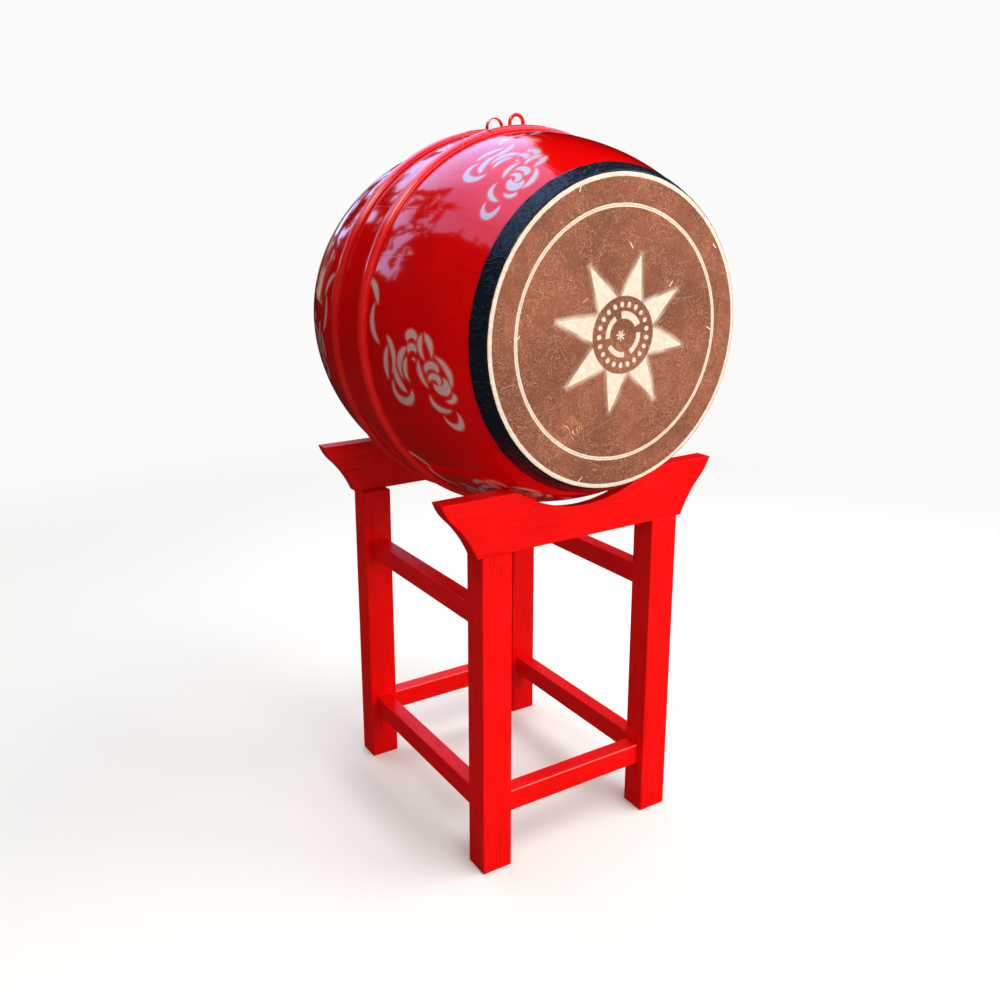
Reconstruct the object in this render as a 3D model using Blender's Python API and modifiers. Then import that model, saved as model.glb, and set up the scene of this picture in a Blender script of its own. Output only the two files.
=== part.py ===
"""Barrel drum on a four-legged stand.

A barrel of bent staves is held by two hoops and closed by a lapped hide head at each end.
It lies in the saddles of a stand of legs, stretchers and saddle beams joined by tenons.

Sizes are in metres, +Z up.  The floor is at Z = 0, the drum's axis runs along Y with its
front head toward -Y, and the middle of the drum is over the origin.
"""
import math

import bmesh
import bpy
from mathutils import Matrix

# Clearances
SEAT_GAP = 0.0003            # between pieces that touch or are glued on the real drum

# Barrel
DRUM_LENGTH = 0.760          # over the two heads
BELLY_RADIUS = 0.392         # outside, at the middle
RIM_RADIUS = 0.2955          # outside, at the ends of the staves
BULGE_POWER = 2.3            # 2 is a parabola, more is fuller toward the ends
STAVE_THICKNESS = 0.020
STAVE_COUNT = 24
STAVE_TURN = math.radians(6.5)      # the joints lie this far round from the level
RIM_CHAMFER = 0.004          # eases the stave ends under the hide

# Heads
HIDE_THICKNESS = 0.0025
BAND_WIDTH = 0.034           # how far the hide laps down the staves
BAND_EDGE = 0.0012           # thickness at the trimmed edge of the lap
RIM_ROUND = 0.005            # outside rounding where the hide turns over the rim

# Hoops
HOOP_SPACING = 0.124         # between the two crests
HOOP_SHIFT = 0.015           # the pair sits this far forward of the middle
HOOP_WIDTH = 0.031           # flat strip against the staves
HOOP_STRIP = 0.0030          # thickness of that strip
BEAD_WIDTH = 0.022           # rounded bead in the middle of the strip
HOOP_HEIGHT = 0.0105         # crest of the bead over the staves
LINK_ANGLE = math.radians(20.5)   # arc of the piece that closes each hoop
FRONT_LINK_TURN = math.radians(4.0)   # the front hoop is closed this far to the left of the top
REAR_LINK_TURN = math.radians(0.0)

# Hanging loops on the closing pieces
LOOP_WIDTH = 0.040           # over the legs of the loop
LOOP_HEIGHT = 0.024          # over the crest of the hoop
LOOP_BAR = 0.0076            # diameter of the front loop's round bar
STRAP_WIDTH = 0.0100         # rear loop, bent from flat strap
STRAP_THICKNESS = 0.0022

# Stand
STAND_WIDTH = 0.505          # over the legs, along X
HEAD_OVERHANG = 0.087        # each head stands this far out past the legs
LEG_WIDTH = 0.070            # along X
LEG_DEPTH = 0.0585           # along Y
LEG_HEIGHT = 0.714           # floor to the underside of the saddle beams
EDGE_BEVEL = 0.0015

# Saddle beams
BEAM_HEIGHT = 0.1215
BEAM_THICKNESS = 0.039
BEAM_TOP_WIDTH = 0.686       # tip to tip
BEAM_FOOT_WIDTH = 0.527      # at the underside
NOSE_DROP = 0.0405           # the end profile turns from nose to hollow this far below the top
NOSE_INSET = 0.025           # and this far in from the tip
NOSE_SLOPE = math.radians(45.0)   # of the profile where it turns
SEAT_DEPTH = 0.0506          # barrel's underside below the beam top, at the inner face
SEAT_RELIEF = 0.010          # hollow left under the barrel at the middle of the saddle
SEAT_BEVEL = 0.0082          # the saddle narrows by this from the inner to the outer face

# Stretchers
STRETCHER_WIDTH = 0.0364
STRETCHER_INSET = 0.018      # back from the outer faces of the legs
LOWER_TOP = 0.164
LOWER_HEIGHT = 0.048
UPPER_TOP = 0.590
UPPER_HEIGHT = 0.046

# Tenons
TENON_THICKNESS = 0.012
TENON_SHOULDER = 0.008       # above and below a stretcher's tenon
SIDE_TENON = 0.020           # length, along Y
TENON_WEB = 0.0028           # wood left in a leg between the two lower tenons
POST_TENON = (0.040, 0.016, 0.045)   # on top of each leg: along X, along Y, height

ROUND_STEPS = 72             # facets round the drum
STAVE_STEPS = 20             # facets along the outside of a stave

# Sizes that follow
STAND_DEPTH = DRUM_LENGTH - 2 * HEAD_OVERHANG   # over the legs, along Y
FRONT_HOOP = HOOP_SHIFT + HOOP_SPACING / 2   # places of the crests along the drum's own Z
REAR_HOOP = HOOP_SHIFT - HOOP_SPACING / 2
DRUM_HALF = DRUM_LENGTH / 2
STAVE_HALF = DRUM_HALF - HIDE_THICKNESS - SEAT_GAP
BEAM_TOP = LEG_HEIGHT + BEAM_HEIGHT
BEAM_OUTER = STAND_DEPTH / 2
BEAM_INNER = BEAM_OUTER - BEAM_THICKNESS


def barrel_radius(z):
    """Outside radius of the staves at a distance z along the axis from the middle."""
    share = abs(z) / STAVE_HALF
    return BELLY_RADIUS - (BELLY_RADIUS - RIM_RADIUS) * share ** BULGE_POWER


DRUM_HEIGHT = BEAM_TOP - SEAT_DEPTH + barrel_radius(BEAM_INNER)   # of the drum's axis

# Colours, roughness and metallic value
RED_LACQUER = ((0.56, 0.006, 0.010), 0.18, 0.0)
RED_STEEL = ((0.60, 0.008, 0.012), 0.22, 0.3)
RED_PAINT = ((0.62, 0.010, 0.008), 0.42, 0.0)
BROWN_HIDE = ((0.26, 0.10, 0.055), 0.75, 0.0)


def clear_scene():
    for item in list(bpy.data.objects):
        bpy.data.objects.remove(item, do_unlink=True)


def collection(name):
    group = bpy.data.collections.new(name)
    bpy.context.scene.collection.children.link(group)
    return group


def finish(name, look):
    """One Principled material for one part."""
    colour, roughness, metallic = look
    material = bpy.data.materials.new(name + "_finish")
    material.use_nodes = True
    shader = material.node_tree.nodes["Principled BSDF"]
    shader.inputs["Base Color"].default_value = (*colour, 1.0)
    shader.inputs["Roughness"].default_value = roughness
    shader.inputs["Metallic"].default_value = metallic
    return material


def add_part(name, mesh, parent, look):
    part = bpy.data.objects.new(name, mesh)
    PARTS.objects.link(part)
    part.parent = parent
    part.data.materials.clear()
    part.data.materials.append(finish(name, look))
    return part


def add_cutter(name, mesh, parent=None):
    """A hidden shape that is cut from a part, or joined to it."""
    cutter = bpy.data.objects.new(name, mesh)
    CUTTERS.objects.link(cutter)
    cutter.parent = parent
    cutter.hide_render = True
    cutter.display_type = "WIRE"
    return cutter


def boolean(part, tool, operation):
    step = part.modifiers.new(operation.lower(), "BOOLEAN")
    step.operation = operation
    step.object = tool
    step.solver = "EXACT"


def smooth(mesh, degrees=30):
    mesh.shade_smooth()
    mesh.set_sharp_from_angle(angle=math.radians(degrees))


def box_mesh(name, size, centre=(0, 0, 0)):
    """A box of the given size, placed in its mesh."""
    bm = bmesh.new()
    bmesh.ops.create_cube(bm, size=1.0)
    bmesh.ops.scale(bm, vec=size, verts=bm.verts)
    bmesh.ops.translate(bm, vec=centre, verts=bm.verts)
    mesh = bpy.data.meshes.new(name)
    bm.to_mesh(mesh)
    bm.free()
    return mesh


def line_mesh(name, points, closed):
    """A profile in the XZ plane, for a Screw modifier."""
    mesh = bpy.data.meshes.new(name)
    edges = [(i, i + 1) for i in range(len(points) - 1)]
    if closed:
        edges.append((len(points) - 1, 0))
    mesh.from_pydata([(x, 0.0, z) for x, z in points], edges, [])
    return mesh


def curve_to_mesh(curve_object, name):
    """The filled and capped curve as one closed mesh, in the curve's own place."""
    evaluated = curve_object.evaluated_get(bpy.context.evaluated_depsgraph_get())
    mesh = bpy.data.meshes.new_from_object(evaluated)
    mesh.name = name
    bm = bmesh.new()
    bm.from_mesh(mesh)
    bmesh.ops.remove_doubles(bm, verts=bm.verts, dist=0.00001)
    bm.to_mesh(mesh)
    bm.free()
    mesh.transform(curve_object.matrix_world)
    bpy.data.objects.remove(curve_object, do_unlink=True)
    return mesh


def flat_outline(name, points, thickness, upright=False):
    """A flat shape in the XY plane, or upright in the XZ plane, its thickness centred there."""
    curve = bpy.data.curves.new(name, "CURVE")
    curve.dimensions = "2D"
    curve.fill_mode = "BOTH"
    curve.extrude = thickness / 2
    spline = curve.splines.new("POLY")
    spline.points.add(len(points) - 1)
    for knot, (across, up) in zip(spline.points, points):
        knot.co = (across, up, 0.0, 1.0)
    spline.use_cyclic_u = True
    outline = bpy.data.objects.new(name, curve)
    CUTTERS.objects.link(outline)
    outline.rotation_euler.x = math.pi / 2 if upright else 0.0
    bpy.context.view_layer.update()
    return curve_to_mesh(outline, name)


def turned(name, points, closed, parent, look):
    """A profile turned round the drum's axis, which is its own Z."""
    part = add_part(name, line_mesh(name, points, closed), parent, look)
    part.rotation_euler.z = STAVE_TURN      # so that its facets lie on the staves'
    screw = part.modifiers.new("turn", "SCREW")
    screw.axis = "Z"
    screw.angle = 2 * math.pi
    screw.steps = ROUND_STEPS
    screw.render_steps = ROUND_STEPS
    screw.use_merge_vertices = True
    screw.merge_threshold = 0.00001
    screw.use_smooth_shade = True
    return part


def arc(start, end, bend, steps):
    """Points from start to end on an arc that leaves the chord by the angle bend, to its left."""
    dx = end[0] - start[0]
    dz = end[1] - start[1]
    points = []
    for i in range(steps + 1):
        turn = bend * (2 * i / steps - 1)
        along = 0.5 + math.sin(turn) / (2 * math.sin(bend))
        aside = (math.cos(turn) - math.cos(bend)) / (2 * math.sin(bend))
        points.append((start[0] + dx * along - dz * aside, start[1] + dz * along + dx * aside))
    return points


# Staves
def stave_section():
    """Long section of a stave: down its outside, then up its inside."""
    top = STAVE_HALF - RIM_CHAMFER
    outside = [(RIM_RADIUS - RIM_CHAMFER, STAVE_HALF)]
    for i in range(STAVE_STEPS + 1):
        z = top * (1 - 2 * i / STAVE_STEPS)
        outside.append((barrel_radius(z), z))
    outside.append((RIM_RADIUS - RIM_CHAMFER, -STAVE_HALF))
    inside = []
    for i in range(STAVE_STEPS // 2 + 1):
        z = STAVE_HALF * (4 * i / STAVE_STEPS - 1)
        inside.append((barrel_radius(z) - STAVE_THICKNESS, z))
    return outside + inside


def stave_mesh():
    """The section turned through one share of the circle, less the joint to the next stave."""
    joint = SEAT_GAP / (RIM_RADIUS - STAVE_THICKNESS)
    bm = bmesh.new()
    corners = [bm.verts.new((x, 0.0, z)) for x, z in stave_section()]
    section = bm.faces.new(corners)
    bmesh.ops.rotate(bm, verts=bm.verts, cent=(0, 0, 0), matrix=Matrix.Rotation(joint / 2, 3, "Z"))
    bmesh.ops.spin(bm, geom=[section] + list(bm.edges) + list(bm.verts), cent=(0, 0, 0), axis=(0, 0, 1),
                   angle=2 * math.pi / STAVE_COUNT - joint, steps=ROUND_STEPS // STAVE_COUNT)
    bmesh.ops.recalc_face_normals(bm, faces=bm.faces)
    mesh = bpy.data.meshes.new("stave")
    bm.to_mesh(mesh)
    bm.free()
    smooth(mesh)
    return mesh


def build_staves(drum):
    mesh = stave_mesh()
    for k in range(STAVE_COUNT):
        stave = add_part(f"stave_{k + 1:02d}", mesh, drum, RED_LACQUER)
        stave.rotation_euler.z = 2 * math.pi * k / STAVE_COUNT + STAVE_TURN


# Heads
def head_profile():
    """Half section of a head: out over its face, round the rim, down the lap and back inside."""
    def lap(z, off):
        return barrel_radius(z) + SEAT_GAP + off

    turn_end = DRUM_HALF - RIM_ROUND
    lap_end = DRUM_HALF - BAND_WIDTH
    corner = lap(DRUM_HALF, HIDE_THICKNESS)
    face_end = corner - RIM_ROUND
    below = lap(turn_end, HIDE_THICKNESS)
    points = [(0.0, DRUM_HALF)]
    for i in range(4):
        t = i / 3
        x = (1 - t) ** 2 * face_end + 2 * t * (1 - t) * corner + t * t * below
        z = (1 - t ** 2) * DRUM_HALF + t * t * turn_end
        points.append((x, z))
    for i in range(1, 3):
        z = turn_end + (lap_end - turn_end) * i / 2
        thickness = HIDE_THICKNESS + (BAND_EDGE - HIDE_THICKNESS) * i / 2
        points.append((lap(z, thickness), z))
    chamfer = STAVE_HALF - RIM_CHAMFER
    for i in range(3):
        z = lap_end + (chamfer - lap_end) * i / 2
        points.append((lap(z, 0.0), z))
    underside = DRUM_HALF - HIDE_THICKNESS
    points.append((RIM_RADIUS - RIM_CHAMFER + SEAT_GAP, underside))
    points.append((0.0, underside))
    return points


def build_heads(drum):
    turned("front_head", head_profile(), False, drum, BROWN_HIDE)
    rear = turned("rear_head", head_profile(), False, drum, BROWN_HIDE)
    rear.rotation_euler.y = math.pi


# Hoops
def hoop_crest(z):
    return barrel_radius(z) + SEAT_GAP + HOOP_HEIGHT


def hoop_profile(middle):
    """Section of a hoop: a flat strip that follows the staves, with a round bead along it."""
    edge = HOOP_WIDTH / 2
    bead = BEAD_WIDTH / 2

    def over(offset, height):
        z = middle + offset
        return (barrel_radius(z) + SEAT_GAP + height, z)

    points = [over(edge, 0.0), over(edge, HOOP_STRIP)]
    for i in range(6):
        across = math.cos(math.pi * i / 5)
        rise = HOOP_STRIP + (HOOP_HEIGHT - HOOP_STRIP) * math.sin(math.pi * i / 5)
        points.append(over(bead * across, rise))
    points += [over(-edge, HOOP_STRIP), over(-edge, 0.0), over(0.0, 0.0)]
    return points


def wedge(name, angle, turn, parent):
    """A sector round the drum's axis, centred on the top and then turned to the left."""
    reach = 2 * BELLY_RADIUS
    side = reach * math.tan(angle / 2)
    mesh = flat_outline(name, [(0.0, 0.0), (side, reach), (-side, reach)], DRUM_LENGTH)
    cutter = add_cutter(name, mesh, parent)
    cutter.rotation_euler.z = turn
    return cutter


def build_hoop(drum, end, middle, turn):
    """A hoop that is closed by a short piece, which carries the hanging loop."""
    gap = 2 * SEAT_GAP / BELLY_RADIUS
    hoop = turned(end + "_hoop", hoop_profile(middle), True, drum, RED_STEEL)
    boolean(hoop, wedge(end + "_hoop_opening", LINK_ANGLE + gap, turn, drum), "DIFFERENCE")
    link = turned(end + "_hoop_link", hoop_profile(middle), True, drum, RED_STEEL)
    boolean(link, wedge(end + "_hoop_share", LINK_ANGLE, turn, drum), "INTERSECT")


# Hanging loops
def loop_foot(middle, inner):
    """Height at which a leg stands whose inner side is this far from the loop's middle."""
    return math.sqrt(hoop_crest(middle) ** 2 - inner ** 2) + SEAT_GAP


def build_bar_loop(drum, name, middle, turn):
    """A round bar bent to a U that stands on the hoop's closing piece."""
    bend = (LOOP_WIDTH - LOOP_BAR) / 2
    foot = loop_foot(middle, bend - LOOP_BAR / 2)
    centre = hoop_crest(middle) + LOOP_HEIGHT - LOOP_BAR / 2 - bend
    path = [(bend, foot)]
    for i in range(11):
        angle = math.pi * i / 10
        path.append((bend * math.cos(angle), centre + bend * math.sin(angle)))
    path.append((-bend, foot))
    curve = bpy.data.curves.new(name, "CURVE")
    curve.dimensions = "3D"
    curve.bevel_depth = LOOP_BAR / 2
    curve.bevel_resolution = 2
    curve.use_fill_caps = True
    spline = curve.splines.new("POLY")
    spline.points.add(len(path) - 1)
    for knot, (x, y) in zip(spline.points, path):
        knot.co = (x, y, middle, 1.0)
    bar = bpy.data.objects.new(name, curve)
    CUTTERS.objects.link(bar)
    bpy.context.view_layer.update()
    mesh = curve_to_mesh(bar, name)
    smooth(mesh, 40)
    loop = add_part(name, mesh, drum, RED_STEEL)
    loop.rotation_euler.z = turn


def build_strap_loop(drum, name, middle, turn):
    """A flat strap bent to an arch, its width along the drum's axis."""
    outer = LOOP_WIDTH / 2
    inner = outer - STRAP_THICKNESS
    foot = loop_foot(middle, inner)
    centre = hoop_crest(middle) + LOOP_HEIGHT - outer
    outline = [(outer, foot)]
    outline += [(outer * math.cos(math.pi * i / 12), centre + outer * math.sin(math.pi * i / 12))
                for i in range(13)]
    outline += [(-outer, foot), (-inner, foot)]
    outline += [(-inner * math.cos(math.pi * i / 12), centre + inner * math.sin(math.pi * i / 12))
                for i in range(13)]
    outline.append((inner, foot))
    mesh = flat_outline(name, outline, STRAP_WIDTH)
    mesh.transform(Matrix.Translation((0.0, 0.0, middle)))
    smooth(mesh, 40)
    loop = add_part(name, mesh, drum, RED_STEEL)
    loop.rotation_euler.z = turn


# Saddle beams
def beam_outline():
    """Front view of a beam: level top, a round nose and a hollow at each end, level underside."""
    tip = (BEAM_TOP_WIDTH / 2, BEAM_TOP)
    turn = (tip[0] - NOSE_INSET, BEAM_TOP - NOSE_DROP)
    foot = (BEAM_FOOT_WIDTH / 2, LEG_HEIGHT)
    nose_bend = NOSE_SLOPE - math.atan2(tip[0] - turn[0], tip[1] - turn[1])
    hollow_bend = NOSE_SLOPE - math.atan2(turn[0] - foot[0], turn[1] - foot[1])
    right = arc(tip, turn, nose_bend, 5) + arc(foot, turn, hollow_bend, 6)[-2::-1]
    left = [(-x, z) for x, z in reversed(right)]
    return right + left


def saddle_cone(side):
    """The hollow for the barrel: widest at the beam's inner face, bevelled toward the outer one."""
    rise = DRUM_HEIGHT - BEAM_TOP
    half_width = math.sqrt((barrel_radius(BEAM_INNER) + SEAT_GAP) ** 2 - rise ** 2)
    depth = SEAT_DEPTH + SEAT_RELIEF
    inner_radius = (half_width ** 2 + depth ** 2) / (2 * depth)
    segments = 96
    past = BEAM_THICKNESS / 4
    slope = SEAT_BEVEL / BEAM_THICKNESS
    round_out = 1 / math.cos(math.pi / segments)
    bm = bmesh.new()
    bmesh.ops.create_cone(bm, cap_ends=True, segments=segments,
                          radius1=(inner_radius + slope * past) * round_out,
                          radius2=(inner_radius - SEAT_BEVEL - slope * past) * round_out,
                          depth=BEAM_THICKNESS + 2 * past)
    mesh = bpy.data.meshes.new("saddle_cut")
    bm.to_mesh(mesh)
    bm.free()
    middle = side * (BEAM_OUTER - BEAM_THICKNESS / 2)
    centre_height = BEAM_TOP - depth + inner_radius
    mesh.transform(Matrix.Translation((0.0, middle, centre_height))
                   @ Matrix.Rotation(-side * math.pi / 2, 4, "X"))
    return mesh


def build_beam(stand, end, side):
    name = end + "_saddle"
    mesh = flat_outline(name, beam_outline(), BEAM_THICKNESS, upright=True)
    mesh.transform(Matrix.Translation((0.0, side * (BEAM_OUTER - BEAM_THICKNESS / 2), 0.0)))
    beam = add_part(name, mesh, stand, RED_PAINT)
    ease_edges(beam)
    boolean(beam, add_cutter(name + "_hollow", saddle_cone(side)), "DIFFERENCE")
    return beam


def ease_edges(part):
    bevel = part.modifiers.new("eased_edges", "BEVEL")
    bevel.width = EDGE_BEVEL
    bevel.segments = 1
    bevel.limit_method = "ANGLE"
    bevel.angle_limit = math.radians(40)


# Legs
def build_leg(stand, name, side_x, side_y, beam):
    """A post, tenoned up into the saddle beam, its outer face flush with the beam's."""
    x = side_x * (STAND_WIDTH - LEG_WIDTH) / 2
    y = side_y * (STAND_DEPTH - LEG_DEPTH) / 2
    height = LEG_HEIGHT - SEAT_GAP
    leg = add_part(name, box_mesh(name, (LEG_WIDTH, LEG_DEPTH, height), (x, y, height / 2)), stand, RED_PAINT)
    ease_edges(leg)
    width, depth, rise = POST_TENON
    root = 0.010
    place = (x, side_y * (BEAM_OUTER - BEAM_THICKNESS / 2), LEG_HEIGHT + (rise - root) / 2)
    tenon = box_mesh(name + "_tenon", (width, depth, rise + root), place)
    boolean(leg, add_cutter(name + "_tenon", tenon), "UNION")
    grown = 2 * SEAT_GAP
    socket = box_mesh(name + "_socket", (width + grown, depth + grown, rise + root + grown), place)
    boolean(beam, add_cutter(name + "_socket", socket), "DIFFERENCE")
    return leg


# Stretchers
def build_stretcher(stand, name, along, centre, length, height, tenon, legs):
    """A rail between two legs, with a tenon at each end, along X (0) or along Y (1)."""
    grown = 2 * SEAT_GAP

    def bar(long, thick, tall):
        return (long, thick, tall) if along == 0 else (thick, long, tall)

    rail = add_part(name, box_mesh(name, bar(length - grown, STRETCHER_WIDTH, height), centre), stand, RED_PAINT)
    ease_edges(rail)
    tongue = (length + 2 * tenon, TENON_THICKNESS, height - 2 * TENON_SHOULDER)
    tenons = box_mesh(name + "_tenons", bar(*tongue), centre)
    boolean(rail, add_cutter(name + "_tenons", tenons), "UNION")
    sockets = box_mesh(name + "_sockets", bar(*(size + grown for size in tongue)), centre)
    cutter = add_cutter(name + "_sockets", sockets)
    for leg in legs:
        boolean(leg, cutter, "DIFFERENCE")


def build_stand(stand):
    beams = {"front": build_beam(stand, "front", -1), "rear": build_beam(stand, "rear", 1)}
    legs = {}
    for end, side_y in (("front", -1), ("rear", 1)):
        for hand, side_x in (("left", -1), ("right", 1)):
            legs[end, hand] = build_leg(stand, f"{end}_{hand}_leg", side_x, side_y, beams[end])

    back = STRETCHER_INSET + STRETCHER_WIDTH / 2
    cross_tenon = LEG_WIDTH - back - TENON_THICKNESS / 2 - TENON_WEB
    lower = LOWER_TOP - LOWER_HEIGHT / 2
    upper = UPPER_TOP - UPPER_HEIGHT / 2
    for end, side_y in (("front", -1), ("rear", 1)):
        centre = (0.0, side_y * (STAND_DEPTH / 2 - back), lower)
        pair = (legs[end, "left"], legs[end, "right"])
        build_stretcher(stand, end + "_lower_stretcher", 0, centre, STAND_WIDTH - 2 * LEG_WIDTH,
                        LOWER_HEIGHT, cross_tenon, pair)
    for hand, side_x in (("left", -1), ("right", 1)):
        x = side_x * (STAND_WIDTH / 2 - back)
        pair = (legs["front", hand], legs["rear", hand])
        span = STAND_DEPTH - 2 * LEG_DEPTH
        build_stretcher(stand, hand + "_lower_stretcher", 1, (x, 0.0, lower), span,
                        LOWER_HEIGHT, SIDE_TENON, pair)
        build_stretcher(stand, hand + "_upper_stretcher", 1, (x, 0.0, upper), span,
                        UPPER_HEIGHT, SIDE_TENON, pair)


def build_drum(drum):
    build_staves(drum)
    build_heads(drum)
    build_hoop(drum, "front", FRONT_HOOP, FRONT_LINK_TURN)
    build_hoop(drum, "rear", REAR_HOOP, REAR_LINK_TURN)
    build_bar_loop(drum, "front_loop", FRONT_HOOP, FRONT_LINK_TURN)
    build_strap_loop(drum, "rear_loop", REAR_HOOP, REAR_LINK_TURN)


clear_scene()
PARTS = collection("barrel_drum")
CUTTERS = collection("cutters")

stand_base = bpy.data.objects.new("stand_base", None)
PARTS.objects.link(stand_base)
build_stand(stand_base)

# The drum is modelled with its axis on its own Z, which this empty turns to point at -Y
drum_axis = bpy.data.objects.new("drum_axis", None)
PARTS.objects.link(drum_axis)
drum_axis.location = (0.0, 0.0, DRUM_HEIGHT)
drum_axis.rotation_euler = (math.pi / 2, 0.0, 0.0)
build_drum(drum_axis)
bpy.context.view_layer.update()
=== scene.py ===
"""Looks of a barrel drum on its stand.

A red lacquered barrel of bent staves is closed by a painted hide at each end and lies in the
saddles of a red wooden stand.  Sizes are in metres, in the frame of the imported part: +Z up, the
floor at Z = 0, the drum's axis along Y and its front head toward -Y.
"""
import math
from functools import reduce

import bpy
import numpy as np
from mathutils import Matrix, Vector


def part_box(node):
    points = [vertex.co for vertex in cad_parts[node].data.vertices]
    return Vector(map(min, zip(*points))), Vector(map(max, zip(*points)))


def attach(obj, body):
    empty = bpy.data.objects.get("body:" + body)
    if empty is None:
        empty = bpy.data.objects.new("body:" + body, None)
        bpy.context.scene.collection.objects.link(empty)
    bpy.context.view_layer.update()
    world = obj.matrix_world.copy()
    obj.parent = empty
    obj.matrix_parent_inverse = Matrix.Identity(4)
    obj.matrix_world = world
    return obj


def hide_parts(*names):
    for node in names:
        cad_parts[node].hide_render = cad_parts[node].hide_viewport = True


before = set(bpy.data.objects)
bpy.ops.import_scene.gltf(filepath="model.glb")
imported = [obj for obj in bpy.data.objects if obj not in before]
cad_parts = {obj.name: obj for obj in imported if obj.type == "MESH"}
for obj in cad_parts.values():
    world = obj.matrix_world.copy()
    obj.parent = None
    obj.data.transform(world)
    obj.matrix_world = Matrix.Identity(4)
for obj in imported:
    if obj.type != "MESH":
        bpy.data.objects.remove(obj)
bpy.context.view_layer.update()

# Camera
# It stands to the left of the front head and a little above the drum, turned a degree off level.
# Its frame is shifted as the photograph is cropped.
AIM = (-0.2153, 0.0, 0.8625)
CAMERA_TURN = math.radians(-28.97)
CAMERA_RISE = math.radians(14.16)
CAMERA_ROLL = math.radians(-1.14)
CAMERA_DISTANCE = 2.058
FOCAL_LENGTH = 33.90                # in millimetres, as the sensor's width
SENSOR_WIDTH = 36.0
FRAME_SHIFT = (0.0759, -0.0485)


def new_object(name, data):
    """An object with the data, linked into the scene."""
    made = bpy.data.objects.new(name, data)
    bpy.context.scene.collection.objects.link(made)
    return made


lens = bpy.data.cameras.new("camera")
lens.lens = FOCAL_LENGTH
lens.sensor_width = SENSOR_WIDTH
lens.shift_x, lens.shift_y = FRAME_SHIFT
camera = new_object("camera", lens)
camera.matrix_world = (Matrix.Translation(AIM)
                       @ Matrix.Rotation(CAMERA_TURN, 4, "Z")
                       @ Matrix.Rotation(math.pi / 2 - CAMERA_RISE, 4, "X")
                       @ Matrix.Translation((0.0, 0.0, CAMERA_DISTANCE))
                       @ Matrix.Rotation(CAMERA_ROLL, 4, "Z"))
bpy.context.scene.camera = camera
bpy.context.scene.view_settings.view_transform = "Standard"


# Studio
# Soft boxes stand round the drum over a plain pale floor.  The floor and the sky are pale to the
# camera only, so that the lacquer keeps its depth as it does in the open.
FLOOR_SIZE = 60.0
FLOOR_DROP = 0.0004                 # the floor lies this far under the feet
LIGHT_AIM = (0.0, 0.0, 0.95)
PALE = (0.90, 0.90, 0.89, 1.0)
PALE_GLOW = 1.07                    # brings the far floor and the sky to one tone
DARK_FLOOR = (0.30, 0.28, 0.27, 1.0)        # what it throws back on the object
MIRRORED_FLOOR = (0.03, 0.012, 0.01, 1.0)   # what the gloss shows of it


def feed(tree, node, inputs):
    """Each input is given a value, or another node's socket to follow."""
    for name, value in inputs.items():
        if isinstance(value, bpy.types.NodeSocket):
            tree.links.new(value, node.inputs[name])
        else:
            node.inputs[name].default_value = value


def put(tree, kind, inputs=(), **settings):
    """A new node in the tree, with its settings and its inputs."""
    node = tree.nodes.new("ShaderNode" + kind)
    for name, value in settings.items():
        setattr(node, name, value)
    feed(tree, node, dict(inputs))
    return node


def calc(tree, operation, *values):
    """The result of a Math node."""
    return put(tree, "Math", enumerate(values), operation=operation).outputs[0]


def times(tree, *values):
    """The product of the values."""
    return reduce(lambda product, value: calc(tree, "MULTIPLY", product, value), values)


def minus(tree, value, other):
    """The difference of two values."""
    return calc(tree, "SUBTRACT", value, other)


def apart(tree, value, other):
    """How far apart two values lie."""
    return calc(tree, "ABSOLUTE", minus(tree, value, other))


def times_plus(tree, value, factor, added):
    """A value times a factor, plus another value."""
    return calc(tree, "MULTIPLY_ADD", value, factor, added)


def vector_calc(tree, operation, *places):
    """The result of a Vector Math node: a number for a length or a dot product, or else a vector."""
    node = put(tree, "VectorMath", enumerate(places), operation=operation)
    return node.outputs["Value" if operation in ("LENGTH", "DOT_PRODUCT") else "Vector"]


def split(tree, place):
    """The X, Y and Z of a place."""
    return put(tree, "SeparateXYZ", {0: place}).outputs


def fade(tree, value, start, end, low=0.0, high=1.0):
    """A smooth step of a value, from low at start to high at end."""
    node = put(tree, "MapRange", {"Value": value, "From Min": start, "From Max": end,
                                  "To Min": low, "To Max": high}, interpolation_type="SMOOTHSTEP")
    return node.outputs["Result"]


def between(tree, share, low, high):
    """A value between two values."""
    return put(tree, "Mix", {0: share, 2: low, 3: high}).outputs[0]


def mixed(tree, share, low, high):
    """A colour between two colours."""
    return put(tree, "Mix", {0: share, 6: low, 7: high}, data_type="RGBA").outputs[2]


def soft_box(name, azimuth, elevation, distance, width, height, power, colour, mirrored=False):
    """An area light that faces the drum, seen from it at an azimuth from +Y toward +X."""
    light = bpy.data.lights.new(name, "AREA")
    light.shape = "RECTANGLE"
    light.size, light.size_y = width, height
    light.energy = power
    light.color = colour
    lamp = new_object(name, light)
    turn, rise = math.radians(azimuth), math.radians(elevation)
    away = Vector((math.sin(turn) * math.cos(rise), math.cos(turn) * math.cos(rise), math.sin(rise)))
    lamp.matrix_world = (Matrix.Translation(Vector(LIGHT_AIM) + distance * away)
                         @ away.to_track_quat("Z", "Y").to_matrix().to_4x4())
    lamp.visible_camera = False
    lamp.visible_glossy = mirrored


soft_box("key_box", 168, 13, 4.4, 3.0, 2.4, 165, (1.0, 0.985, 0.955))
soft_box("right_box", 120, 50, 3.8, 2.4, 2.2, 90, (1.0, 0.98, 0.95))
soft_box("left_box", -150, 45, 3.8, 1.1, 1.0, 16, (1.0, 0.90, 0.80), mirrored=True)
soft_box("rear_box", 0, 62, 3.6, 2.4, 2.4, 70, (0.97, 0.98, 1.0))

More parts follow.
